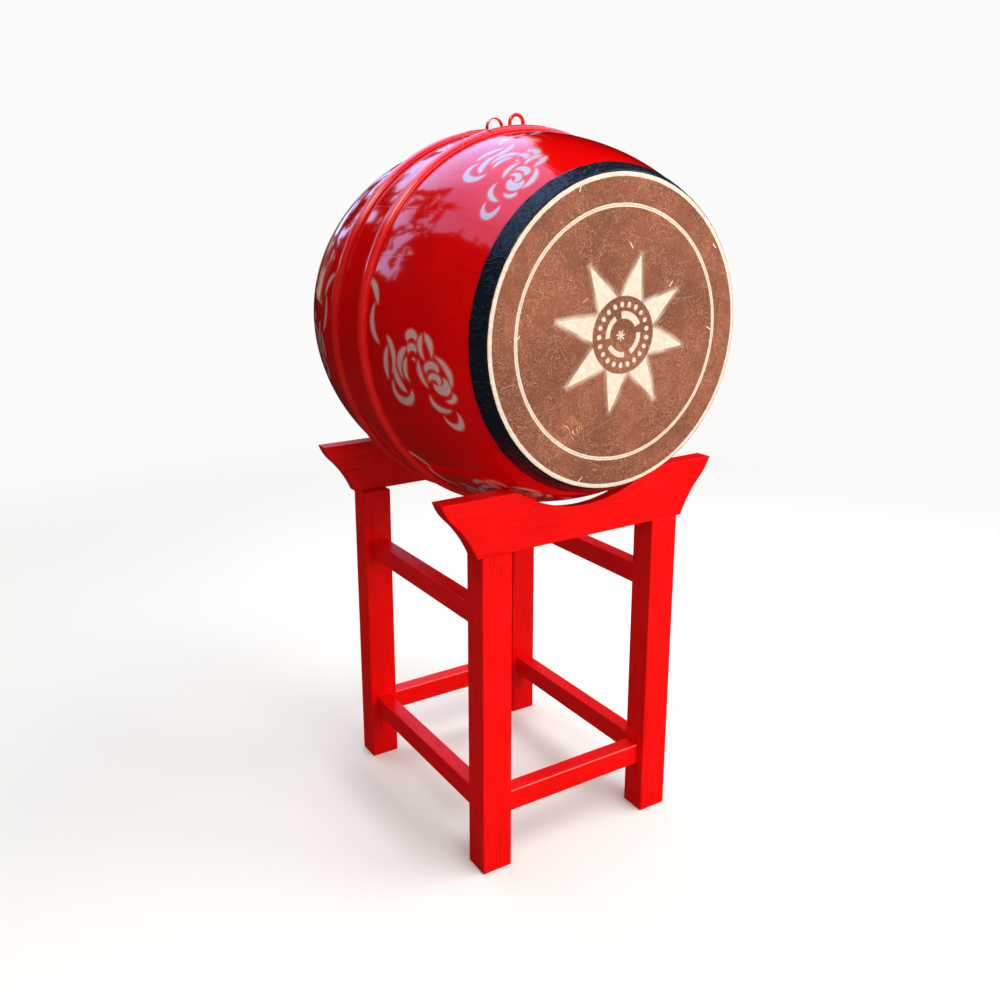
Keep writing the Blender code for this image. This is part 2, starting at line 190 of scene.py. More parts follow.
half = FLOOR_SIZE / 2
floor_mesh = bpy.data.meshes.new("floor")
corners = ((-half, -half), (half, -half), (half, half), (-half, half))
floor_mesh.from_pydata([(x, y, -FLOOR_DROP) for x, y in corners], [], [(0, 1, 2, 3)])
floor = new_object("floor", floor_mesh)

floor_finish = bpy.data.materials.new("pale_floor")
floor_finish.use_nodes = True
tree = floor_finish.node_tree
tree.nodes.remove(tree.nodes["Principled BSDF"])
place = put(tree, "TexCoord").outputs["Object"]
far = fade(tree, vector_calc(tree, "LENGTH", place), 1.0, 4.0)
near_floor = put(tree, "BsdfDiffuse", {"Color": PALE})
far_floor = put(tree, "Emission", {"Color": PALE, "Strength": PALE_GLOW})
seen = put(tree, "MixShader", {0: far, 1: near_floor.outputs[0], 2: far_floor.outputs[0]})
ray = put(tree, "LightPath").outputs
dark = mixed(tree, ray["Is Glossy Ray"], DARK_FLOOR, MIRRORED_FLOOR)
unseen = put(tree, "BsdfDiffuse", {"Color": dark})
both = put(tree, "MixShader", {0: ray["Is Camera Ray"], 1: unseen.outputs[0], 2: seen.outputs[0]})
tree.links.new(both.outputs[0], tree.nodes["Material Output"].inputs["Surface"])
floor_mesh.materials.append(floor_finish)

# What the gloss mirrors is a bright sky seen through leaves.  It is whole overhead and low behind
# the drum, broken into patches between them, and shut out by a tree on the left, by a strip on the
# right and by the dark ground.  Past that strip the same sky comes again, turned round.
SKY = (0.38, 0.52, 1.0, 1.0)
SKY_FOLD = 50.0                     # the azimuth that it is turned round about, in degrees
SKY_STRIP = 34.0                    # the azimuth where the dark strip begins
PALE_GROUND = (0.75, 0.72, 0.62, 1.0)
PALE_GROUND_GLOW = 0.60
FILL = 0.46                         # the plain light that all but gloss and camera rays see

world = bpy.data.worlds.new("studio")
bpy.context.scene.world = world
world.use_nodes = True
tree = world.node_tree
ray = put(tree, "LightPath").outputs
toward = put(tree, "TexCoord").outputs["Generated"]
ragged = put(tree, "TexNoise", {"Vector": toward, "Scale": 8.0, "Detail": 8.0, "Roughness": 0.66,
                                "Distortion": 0.5}).outputs[0]
x, y, z = split(tree, toward)
azimuth = calc(tree, "ARCTAN2", x, y)
fold = math.radians(SKY_FOLD)
side = minus(tree, fold, apart(tree, azimuth, fold))


def round_fade(start, end, low=0.0, high=1.0):
    """A smooth step round the horizon, from one azimuth in degrees to another."""
    return fade(tree, side, math.radians(start), math.radians(end), low, high)


# The leaves are where the ragged noise stays under this level, which falls toward the top.  The
# tree on the left and the feet of the patches raise it, and a gap low on the left lowers it.
raised = calc(tree, "ADD", round_fade(-35, -55, 0.0, 0.09), round_fade(-20, 6, 0.0, 0.30))
level = fade(tree, calc(tree, "ADD", z, raised), 0.70, 0.92, 0.54, 0.26)
shut = times(tree, round_fade(-42, -62), fade(tree, z, 0.82, 0.62))
level = times_plus(tree, shut, 0.26, level)
low_edge = calc(tree, "ADD", round_fade(-12, -5, 0.36, 0.05), round_fade(-24, -31, 0.0, -0.14))
below = fade(tree, minus(tree, z, low_edge), 0.10, -0.06)
level = times_plus(tree, below, 0.32, level)
gap = times(tree, round_fade(-26, -32), fade(tree, z, 0.55, 0.45))
level = times_plus(tree, gap, -0.06, level)
leafless = fade(tree, minus(tree, ragged, level), -0.03, 0.03)

# The strip on the right has a ragged edge, and ends below the top
limit = fade(tree, z, 0.93, 1.0, math.radians(SKY_STRIP), math.radians(200.0))
past = times_plus(tree, ragged, 0.2, calc(tree, "ADD", side, -0.1))
sky = times(tree, leafless, fade(tree, minus(tree, past, limit), 0.03, -0.03))

# Pale ground shows in ragged patches about the horizon, behind the drum and a little to its right
ground = times(tree, round_fade(-8, 2), round_fade(34, 24), fade(tree, z, -0.26, -0.12),
               fade(tree, z, 0.22, 0.08), fade(tree, ragged, 0.40, 0.60))

# The sky is brightest low down, dimmer in a haze high on the left, and half as bright in front
hazy = times(tree, fade(tree, z, 0.50, 0.68), fade(tree, z, 0.93, 0.80), round_fade(-5, -25))
behind = fade(tree, apart(tree, azimuth, -0.26), 1.40, 1.65, 1.0, 0.5)
bright = times_plus(tree, hazy, -0.75, fade(tree, z, 0.5, 0.9, 2.8, 1.8))
mirrored = times_plus(tree, sky, times(tree, bright, behind),
                      times(tree, ground, PALE_GROUND_GLOW))
fill = between(tree, ray["Is Glossy Ray"], FILL, mirrored)
strength = between(tree, ray["Is Camera Ray"], fill, PALE_GLOW)
mirrored_tint = mixed(tree, sky, PALE_GROUND, SKY)
tint = mixed(tree, ray["Is Glossy Ray"], (1.0, 1.0, 1.0, 1.0), mirrored_tint)
tint = mixed(tree, ray["Is Camera Ray"], tint, PALE)
feed(tree, tree.nodes["Background"], {"Color": tint, "Strength": strength})


# Lacquered staves
# Twenty-four bent staves of hardwood, glued edge to edge, filled and sprayed with red lacquer.
# A scroll is stencilled round each half in silver paint, soft where the stencil stood off.
BELLY_RADIUS = 0.392
RIM_RADIUS = 0.2955
BULGE_POWER = 2.3
STAVE_COUNT = 24
STAVE_THICKNESS = 0.020
JOINT_TURN = math.radians(6.5)      # the joints lie this far round from the level
JOINT_GAP = 0.00012
GROOVE = (0.0008, 0.00006)          # width on each side of a joint, and depth
RIM_CHAMFER = 0.004
STAVE_CROWN = 0.00002               # each stave's middle stands this proud of its joints
STAVE_ROWS = 61                     # along the drum, between the chamfers of the rims

head_low, head_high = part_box("front_head")
AXIS_HEIGHT = (head_low[2] + head_high[2]) / 2
DRUM_HALF = -head_low[1]
STAVE_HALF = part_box("stave_01")[1][1]

# Each brush-like stroke of the scroll is an arc: from x, y to x, y, its bow to the left, its
# greatest width, in millimetres, how far its width leans to its end, and how much it is drawn in
# to a longer ellipse.
STROKES = (
    (-152, 174, -109, 132, 8, 13, 0, 1), (-119, 131, -101, 63, -13, 12, 0, 1),
    (-75, 58, -85, -1, -5, 12, 0, 1), (-75, 77, -69, 11, 13, 11, -0.3, 1),
    (-56, 37, -40, -24, -11, 12, 0.6, 1), (-71, -5, -25, -22, -32, 14, 0.35, 1),
    (-23, 60, -41, 3, -12, 12, -0.5, 1), (-23, 42, -26, -2, -7, 9, 0, 1),
    (-18, 74, 1, 76, 12, 15, 0, 1), (-17, 52, 0, 53, 10, 13, 0, 1),
    (15, 86, 19, 41, -6, 10, -0.3, 1), (23, 89, 37, 47, 4, 11, -0.4, 1),
    (5, 38, 17, -12, -5, 9, 0, 1), (20, 17, 46, 17, 14, 14, 0, 1),
    (24, 0, 43, -9, 14, 12, 0, 1), (33, -6, 56, 6, -21, 21, -0.15, 1.35),
    (45, 47, 70, -11, 10, 10, 0, 1), (52, -41, 69, -26, -9, 9, 0, 1),
    (18, -30, 54, -62, -13, 10, 0.3, 1), (34, -76, 65, -69, -29, 15, 0.1, 1.6),
    (-8.5, 41, -4, 38, 1, 5, 0, 1),
)
# The angles round the drum, from its top toward +X, where the scroll is repeated, in degrees: the
# first and last edge of the staves it may cover, and its own middle.
SCROLLS = ((-186.5, -126.5, -156.4), (-126.5, -66.5, -101.4), (-66.5, 8.5, -31.8),
           (8.5, 83.5, 40.0), (83.5, 143.5, 109.0))
SCROLL_REACH = 145.6                # from the scroll's middle to the head, in millimetres
SCROLL_RADIUS = 360                 # of the barrel at the scroll, in millimetres
NO_SCROLL = 900.0                   # a place beyond every stroke
# The scroll nearest the top lies askew: its shift, and the matrix that its place is turned by
ASKEW_SCROLL = SCROLLS[2][2]
ASKEW_SHIFT = (23.3, 1.7)
ASKEW_TURN = ((0.90, 0.045), (-0.082, 1.004))


def barrel_radius(y):
    """Belly radius, less the fall to the rim times the 2.3rd power of the share of half the length."""
    return BELLY_RADIUS - (BELLY_RADIUS - RIM_RADIUS) * (np.abs(y) / STAVE_HALF) ** BULGE_POWER


def round_drum(radius, angle, y):
    """Points at a radius from the drum's axis and an angle from the top toward +X."""
    radius, angle, y = np.broadcast_arrays(radius, angle, y)
    return np.stack([radius * np.sin(angle), y, AXIS_HEIGHT + radius * np.cos(angle)], axis=-1)


def carried(sections):
    """A closed section carried through its rows: quads between rows, and a fan over each end."""
    rows, around = sections.shape[:2]
    here = np.arange(rows * around).reshape(rows, around)
    after = np.roll(here, -1, axis=1)
    quads = np.stack([here[:-1], after[:-1], after[1:], here[1:]], axis=-1).reshape(-1, 4)
    first = np.stack([after[0], here[0], np.full(around, rows * around)], axis=-1)
    last = np.stack([here[-1], after[-1], np.full(around, rows * around + 1)], axis=-1)
    ends = [sections[0].mean(axis=0, keepdims=True), sections[-1].mean(axis=0, keepdims=True)]
    return np.concatenate([sections.reshape(-1, 3)] + ends), quads, np.concatenate([first, last])


def new_piece(name, surface, finish, body, slot, *nodes, crease=25):
    """A mesh of the surface, turned right side out by the sign of its volume, on its body."""
    points, quads, fans = surface
    triangles = np.concatenate([quads[:, :3], quads[:, [0, 2, 3]], fans])
    a, b, c = (points[triangles[:, i]] for i in range(3))
    if np.einsum("ij,ij->", a - a[0], np.cross(b - a[0], c - a[0])) < 0:
        quads, fans = quads[:, ::-1], fans[:, ::-1]
    mesh = bpy.data.meshes.new(name)
    mesh.from_pydata(points.tolist(), [], quads.tolist() + fans.tolist())
    mesh.shade_smooth()
    mesh.set_sharp_from_angle(angle=math.radians(crease))
    mesh.materials.append(finish)
    piece = new_object(name, mesh)
    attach(piece, body)
    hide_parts(*nodes)
    return piece


def colour(*screen):
    """Linear colour of a paint mixed by its 8-bit screen values."""
    values = np.array(screen) / 255
    linear = np.where(values <= 0.04045, values / 12.92, ((values + 0.055) / 1.055) ** 2.4)
    return (*linear.tolist(), 1.0)


def noise(tree, place, scale, detail=2.0, distortion=0.0):
    """A noise value from 0 to 1, its scale in waves per metre."""
    return put(tree, "TexNoise", {"Vector": place, "Scale": scale, "Detail": detail,
                                  "Distortion": distortion}).outputs[0]


def greatest(tree, values):
    """The greatest of the values."""
    return reduce(lambda most, value: calc(tree, "MAXIMUM", most, value), values)


def relief(tree, height):
    """The normal of a surface that is raised by a height in metres."""
    return put(tree, "Bump", {"Strength": 1.0, "Distance": 1.0, "Height": height}).outputs[0]


def new_finish(name):
    """A material, its node tree, its Principled shader and the place on the object that it paints."""
    finish = bpy.data.materials.new(name)
    finish.use_nodes = True
    tree = finish.node_tree
    return finish, tree, tree.nodes["Principled BSDF"], put(tree, "TexCoord").outputs["Object"]


def new_group(name, inputs, outputs):
    """A node group with named sockets, and the nodes that hold what goes in and comes out."""
    group = bpy.data.node_groups.new(name, "ShaderNodeTree")
    for side, sockets in (("INPUT", inputs), ("OUTPUT", outputs)):
        for title, kind in sockets.items():
            group.interface.new_socket(title, in_out=side, socket_type="NodeSocket" + kind)
    return group, group.nodes.new("NodeGroupInput").outputs, group.nodes.new("NodeGroupOutput")


def use(tree, group, inputs):
    """The outputs of a node group placed in a tree."""
    node = tree.nodes.new("ShaderNodeGroup")
    node.node_tree = group
    feed(tree, node, inputs)
    return node.outputs


# How deep a place lies inside one stroke: half its width there, less its distance from the arc
stroke_depth, given, result = new_group(
    "scroll_stroke",
    {"Place": "Vector", "Centre": "Vector", "Middle": "Vector", "Side": "Vector", "Radius": "Float",
     "Spread": "Float", "Half Width": "Float", "Lean": "Float"}, {"Depth": "Float"})
tree = stroke_depth
offset = vector_calc(tree, "SUBTRACT", given["Place"], given["Centre"])
along = vector_calc(tree, "DOT_PRODUCT", offset, given["Middle"])
aside = vector_calc(tree, "DOT_PRODUCT", offset, given["Side"])
reach = calc(tree, "SQRT", times_plus(tree, along, along, times(tree, aside, aside)))
share = calc(tree, "DIVIDE", calc(tree, "ARCTAN2", aside, along), given["Spread"])
left = calc(tree, "MAXIMUM", minus(tree, 1.0, times(tree, share, share)), 0.0)
half_width = times(tree, calc(tree, "POWER", left, 0.75), given["Half Width"],
                   times_plus(tree, given["Lean"], share, 1.0))
depth = minus(tree, half_width, apart(tree, reach, given["Radius"]))
to_end = times(tree, minus(tree, 1.0, calc(tree, "ABSOLUTE", share)), given["Radius"], given["Spread"])
feed(tree, result, {"Depth": calc(tree, "MINIMUM", depth, to_end)})

# Dust and bits in sprayed or brushed paint: a round speck in a share of the cells of a pattern
specks, given, result = new_group("paint_specks", {"Place": "Vector", "Scale": "Float", "Share": "Float"},
                                  {"Mask": "Float"})
tree = specks
cells = put(tree, "TexVoronoi", {"Vector": given["Place"], "Scale": given["Scale"]})
chosen = calc(tree, "LESS_THAN", put(tree, "SeparateColor", {0: cells.outputs["Color"]}).outputs[0],
              given["Share"])
spot = fade(tree, cells.outputs["Distance"], 0.22, 0.10)
feed(tree, result, {"Mask": times(tree, chosen, spot)})


def stroke_values(row):
    """What the group needs of a stroke: the circle through its ends with its bow, whose radius is
    half the sum of the bow and of the half chord's square over the bow, and half its angle."""
    x0, y0, x1, y1, bow, width, lean, drawn_in = row
    start, end = Vector((x0, y0, 0.0)), Vector((x1, y1, 0.0))
    half_chord, rise = drawn_in * (end - start).length / 2, abs(bow)
    along = (end - start).normalized()
    middle = Vector((-along.y, along.x, 0.0)) * math.copysign(1.0, bow)
    radius = (half_chord ** 2 + rise ** 2) / (2 * rise)
    return {"Centre": (start + end) / 2 + middle * (rise - radius), "Middle": middle,
            "Side": along * drawn_in, "Radius": radius, "Spread": 2 * math.atan2(rise, half_chord),
            "Half Width": width / 2, "Lean": lean}


def red_lacquer():
    """Deep gloss red, with the scroll in silver that is painted pink low on the sides as a painted
    reflection of the red lacquer round it, faint waves in the gloss and a few bits in it."""
    finish, tree, shader, place = new_finish("red_lacquer")
    scroll_place = put(tree, "UVMap", uv_map="scroll").outputs[0]
    deepest = greatest(tree, (use(tree, stroke_depth, {"Place": scroll_place, **stroke_values(row)})[0]
                              for row in STROKES))
    softness = fade(tree, noise(tree, place, 22.0), 0.40, 0.70, 0.5, 2.6)
    edge = times_plus(tree, noise(tree, place, 420.0, 3.0), 0.9, minus(tree, deepest, 0.45))
    silver = fade(tree, calc(tree, "DIVIDE", edge, softness), -1.0, 1.0)
    mist = times(tree, fade(tree, deepest, -5.5, 0.0), noise(tree, place, 60.0), 0.50)
    cover = calc(tree, "MAXIMUM", silver, mist)
    bits = use(tree, specks, {"Place": place, "Scale": 95.0, "Share": 0.05})[0]
    patches = fade(tree, noise(tree, place, 7.0, 4.0), 0.35, 0.7)
    red = mixed(tree, patches, colour(214, 4, 5), colour(228, 5, 4))
    red = mixed(tree, times(tree, bits, 0.6), red, colour(70, 3, 6))
    # Low on the sides the silver is painted pink, a painted reflection of the red lacquer round it; higher
    # up it is grey-white and more metallic
    thick = fade(tree, split(tree, place)[2], AXIS_HEIGHT + 0.04, AXIS_HEIGHT + 0.24)
    paint = mixed(tree, thick, colour(238, 184, 180), colour(216, 204, 204))
    cloudy = fade(tree, noise(tree, place, 160.0, 3.0), 0.3, 0.7, 0.0, 0.25)
    paint = mixed(tree, cloudy, paint, colour(170, 150, 150))
    metallic = times(tree, cover, fade(tree, thick, 0.0, 1.0, 0.16, 0.54))
    height = times(tree, noise(tree, place, 11.0, 1.0), 0.0004)
    height = times_plus(tree, noise(tree, place, 190.0, 2.0), 0.000006, height)
    height = times_plus(tree, silver, 0.00003, height)
    height = times_plus(tree, bits, 0.00005, height)
    feed(tree, shader, {"Base Color": mixed(tree, cover, red, paint), "Metallic": metallic,
                        "Roughness": fade(tree, silver, 0.0, 1.0, 0.10, 0.34),
                        "Normal": relief(tree, height), "Coat Weight": 0.7, "Coat Roughness": 0.04})
    return finish


def stave_surface(first, last):
    """The outside over the angles with a groove at each joint, then the inside, in rows along Y."""
    rise = STAVE_HALF - RIM_CHAMFER
    y = np.concatenate([[-STAVE_HALF], np.linspace(-rise, rise, STAVE_ROWS), [STAVE_HALF]])
    radius = np.where(np.abs(y) > rise + 1e-9, RIM_RADIUS - RIM_CHAMFER, barrel_radius(y))
    gap = JOINT_GAP / radius
    eased = GROOVE[0] / radius
    across = np.concatenate([[-1.0, -1.0, -1.0], np.linspace(-0.9, 0.9, 9), [1.0, 1.0, 1.0]])
    step = np.concatenate([[0.0, 0.5, 1.0], np.full(9, 1.0), [1.0, 0.5, 0.0]])
    middle, half = (first + last) / 2, (last - first) / 2
    inner = half - gap
    angle = middle + across * (inner[:, None] - (np.abs(across) == 1) * step * eased[:, None])
    crown = STAVE_CROWN * (1 - across ** 2)
    dip = np.where(step == 0.0, GROOVE[1], np.where(step == 0.5, GROOVE[1] * 0.3, 0.0))
    outside = round_drum(radius[:, None] + crown - STAVE_CROWN - dip, angle, y[:, None])
    back = np.linspace(1.0, -1.0, 5)
    bore = barrel_radius(y) - STAVE_THICKNESS
    inside = round_drum(bore[:, None], middle + back * inner[:, None], y[:, None])
    return carried(np.concatenate([outside, inside], axis=1))


def scroll_map(piece, scroll):
    """Each point's place on the scroll, in millimetres: X to the nearer head, Y round the drum."""
    mesh = piece.data
    points = np.empty(len(mesh.vertices) * 3)
    mesh.vertices.foreach_get("co", points)
    x, y, z = points.reshape(-1, 3).T
    if scroll is None:
        places = np.full((len(x), 2), NO_SCROLL)
    else:
        angle = np.arctan2(x, z - AXIS_HEIGHT) - math.radians(scroll)
        angle = (angle + math.pi) % (2 * math.pi) - math.pi
        to_head = SCROLL_REACH - 1000 * (DRUM_HALF - np.abs(y))
        places = np.stack([to_head, SCROLL_RADIUS * angle], axis=-1)
        if scroll == ASKEW_SCROLL:
            places = (places - ASKEW_SHIFT) @ np.linalg.inv(ASKEW_TURN).T
    corners = np.empty(len(mesh.loops), dtype=int)
    mesh.loops.foreach_get("vertex_index", corners)
    layer = mesh.uv_layers.new(name="scroll")
    layer.data.foreach_set("uv", places[corners].ravel())


lacquer = red_lacquer()
for k in range(STAVE_COUNT):
    turn = math.pi / 2 - JOINT_TURN - 2 * math.pi * k / STAVE_COUNT
    surface = stave_surface(turn - 2 * math.pi / STAVE_COUNT, turn)
    stave = new_piece(f"lacquered_stave_{k + 1:02d}", surface, lacquer, "drum", "red_lacquer",
                      f"stave_{k + 1:02d}")
    middle = math.degrees(turn) - 180 / STAVE_COUNT
    covers = [scroll for start, end, scroll in SCROLLS if (middle - start) % 360 < end - start]
    scroll_map(stave, covers[0] if covers else None)


# Hoops
# Two hoops of steel strip with a round bead rolled along them hold the staves, sprayed red with
# the barrel.  A short piece closes each hoop at the top and carries the hanging loop.
HOOP_PLACES = (-0.077, 0.047)       # of the crests, along Y
HOOP_WIDTH = 0.031
HOOP_STRIP = 0.0030
BEAD_WIDTH = 0.022
HOOP_HEIGHT = 0.0105
CLOSING_PROUD = 0.0007              # how far the closing piece stands above the hoop
END_EASE = 0.0022                   # how far the welded ends are eased, along and down
LINK_ANGLE = math.radians(20.5)
LINK_TURNS = (math.radians(-4.0), 0.0)
SEAT_GAP = 0.0003
HOOP_STEPS = 620                    # round the drum, of a hoop and of its closing piece
LINK_STEPS = 40


def hoop_section(middle):
    """Along Y and up from the staves: a flat strip with eased edges and a half-round bead on it."""
    edge, bead, ease = HOOP_WIDTH / 2, BEAD_WIDTH / 2, 0.0007
    turn = np.linspace(0.0, math.pi, 19)
    arch = np.sin(turn) ** 0.9
    rolled = bead * np.cos(turn) * (1 - 0.06 * np.sin(turn))
    along = np.concatenate([[edge, edge, edge - ease], rolled, [-edge + ease, -edge, -edge],
                            np.linspace(-0.6, 0.6, 4) * edge])
    up = np.concatenate([[0.0, HOOP_STRIP - ease, HOOP_STRIP],
                         HOOP_STRIP + (HOOP_HEIGHT - HOOP_STRIP) * arch,
                         [HOOP_STRIP, HOOP_STRIP - ease, 0.0], np.zeros(4)])
    return barrel_radius(middle + along) + SEAT_GAP, up, middle + along


def hoop_surface(middle, start, end, steps, proud=0.0):
    """The section carried round the drum's axis, its ends eased down where two pieces are welded."""
    radius, up, y = hoop_section(middle)
    angle = np.linspace(start, end, steps + 1)
    angle[1], angle[-2] = start + END_EASE / BELLY_RADIUS, end - END_EASE / BELLY_RADIUS
    lift = np.full(steps + 1, proud)
    lift[[0, -1]] = -END_EASE
    outer = radius + np.where(up > 0, up + lift[:, None], 0.0)
    return carried(round_drum(outer, angle[:, None], y))


def red_steel():
    """Thick sprayed gloss, a little wavy, with a few small bits that catch the light."""
    finish, tree, shader, place = new_finish("red_enamelled_steel")
    bits = use(tree, specks, {"Place": place, "Scale": 80.0, "Share": 0.06})[0]
    patches = fade(tree, noise(tree, place, 18.0, 3.0), 0.35, 0.7)
    red = mixed(tree, patches, colour(250, 10, 10), colour(255, 16, 16))
    red = mixed(tree, times(tree, bits, 0.4), red, colour(110, 4, 8))
    height = times(tree, noise(tree, place, 30.0, 1.0), 0.00005)
    rough = fade(tree, noise(tree, place, 40.0), 0.3, 0.7, 0.16, 0.23)
    feed(tree, shader, {"Base Color": red, "Roughness": rough, "Normal": relief(tree, height), "IOR": 1.8,
                        "Specular IOR Level": 1.0, "Specular Tint": (1.0, 0.80, 0.60, 1.0),
                        "Coat Weight": 1.0, "Coat Roughness": 0.12, "Coat IOR": 1.9})
    return finish


enamel = red_steel()
half = LINK_ANGLE / 2
start = half + SEAT_GAP / BELLY_RADIUS
for end, middle, turn in zip(("front", "rear"), HOOP_PLACES, LINK_TURNS):
    rolled = hoop_surface(middle, turn + start, turn + 2 * math.pi - start, HOOP_STEPS)
    new_piece(f"{end}_hoop_rolled", rolled, enamel, "drum", "red_enamelled_steel", f"{end}_hoop")
    closing = hoop_surface(middle, turn - half, turn + half, LINK_STEPS, CLOSING_PROUD)
    new_piece(f"{end}_hoop_closing", closing, enamel, "drum", "red_enamelled_steel", f"{end}_hoop_link")


# Hanging loops
# The front loop is a round bar bent to a U and welded to the hoop's closing piece.  The rear one
# is a flat strap bent to an arch.  Both went under the same red spray.
LOOP_WIDTH = 0.040
LOOP_HEIGHT = 0.024
LOOP_BAR = 0.0076
STRAP_SIZE = (0.0100, 0.0022)       # width along the drum, thickness
STRAP_EASE = 0.0006                 # of its long edges


def arch_path(middle, half_width, inner, top):
    """Across and up: two legs from the hoop's crest, joined by half a circle."""
    crest = barrel_radius(middle) + SEAT_GAP + HOOP_HEIGHT
    foot = math.sqrt(crest ** 2 - inner ** 2) + SEAT_GAP
    centre = crest + LOOP_HEIGHT - top - half_width
    turn = np.linspace(0.0, math.pi, 33)
    across = np.concatenate([[half_width], half_width * np.cos(turn), [-half_width]])
    up = np.concatenate([[foot], centre + half_width * np.sin(turn), [foot]])
    outward = np.concatenate([[0.0], turn, [math.pi]])
    return across, up, outward


def loop_surface(middle, turn, path, thick, wide):
    """A section, given outward and along the drum, carried along the arch and turned off the top."""
    across, up, outward = path
    x = across[:, None] + np.cos(outward)[:, None] * thick
    z = up[:, None] + np.sin(outward)[:, None] * thick
    y = np.broadcast_to(middle + wide, x.shape)
    turned_x = x * math.cos(turn) + z * math.sin(turn)
    turned_z = z * math.cos(turn) - x * math.sin(turn)
    return carried(np.stack([turned_x, y, AXIS_HEIGHT + turned_z], axis=-1))


bend, round_bar = (LOOP_WIDTH - LOOP_BAR) / 2, LOOP_BAR / 2
angle = np.linspace(0.0, 2 * math.pi, 16, endpoint=False)
bar = loop_surface(HOOP_PLACES[0], LINK_TURNS[0],
                   arch_path(HOOP_PLACES[0], bend, bend - round_bar, round_bar),
                   round_bar * np.cos(angle), round_bar * np.sin(angle))
new_piece("bent_bar_loop", bar, enamel, "drum", "red_enamelled_steel", "front_loop", crease=40)

wide, thick = STRAP_SIZE[0] / 2, STRAP_SIZE[1] / 2
flat, edge = wide - STRAP_EASE, thick - STRAP_EASE
corners_wide = np.array([-wide, -wide, -flat, flat, wide, wide, flat, -flat])
corners_thick = np.array([-edge, edge, thick, thick, edge, -edge, -thick, -thick])
strap = loop_surface(HOOP_PLACES[1], LINK_TURNS[1],
                     arch_path(HOOP_PLACES[1], LOOP_WIDTH / 2 - thick, LOOP_WIDTH / 2 - 2 * thick, thick),
                     corners_thick, corners_wide)
new_piece("bent_strap_loop", strap, enamel, "drum", "red_enamelled_steel", "rear_loop")


# Hide heads
# A thick cowhide is stretched wet over each end, lapped down the staves and glued there.  The lap
# is painted black, and two rings and a sun star are stencilled in cream on the brown face.
HIDE_THICKNESS = 0.0025
BAND_WIDTH = 0.034
BAND_EDGE = 0.0012
RIM_ROUND = 0.005
STAR_CENTRE = (0.0077, -0.0006)     # across and up from the axis
HUB_RADIUS = 0.0735
# Each ray of the star: its direction from +X toward +Z in degrees, and its length
RAYS = ((122.4, 0.1530), (75.6, 0.1514), (31.3, 0.1502), (-11.5, 0.1510), (-57.7, 0.1514),
        (-101.3, 0.1478), (-146.6, 0.1556), (167.2, 0.1581))
# The four curved bars of the hub: direction, inner and outer radius, half angle
HUB_BARS = ((62, 0.0310, 0.0450, 36), (153, 0.0320, 0.0420, 33), (243, 0.0320, 0.0420, 33),
            (331, 0.0320, 0.0420, 33))
RAY_HALF_WIDTH = 0.0232             # at the hub
DOT_COUNT, DOT_RADIUS, FIRST_DOT = 21, 0.0575, math.radians(94.5)       # round the hub
SMALL_STAR = (-0.006, -0.001)       # in the hub, from the star's centre
SMALL_POINTS = 7
RINGS = ((0.2957, 0.2875), (0.2410, 0.2337))        # outer and inner radius
# Each layer of hairs: how many cells to the metre, length, width, and how far it is shifted
HAIRS = ((125.0, 0.0052, 0.00042, 0.0), (155.0, 0.0044, 0.00038, 0.31),
         (185.0, 0.0038, 0.00036, 0.57), (60.0, 0.0110, 0.00045, 0.83))
WHORL_PLACE = (-0.112, -0.168)      # across and up from the axis
WHORL_SIZE = (0.044, 0.026)         # half its length and width
WHORL_TURN = math.radians(-42.0)
PIT_ROW = 0.0235                    # the pits in the lap lie this far from the face
LAP_SWELL = 0.00028                 # height of the lap's lumps
EDGE_WANDER = 0.0002                # of the lap's end, to and fro
HEAD_STEPS = 360
FACE_ROWS, BEND_ROWS, LAP_ROWS, UNDER_ROWS = 24, 8, 21, 6
PLUG = 0.004                        # the rows end at this radius, where a fan closes the middle


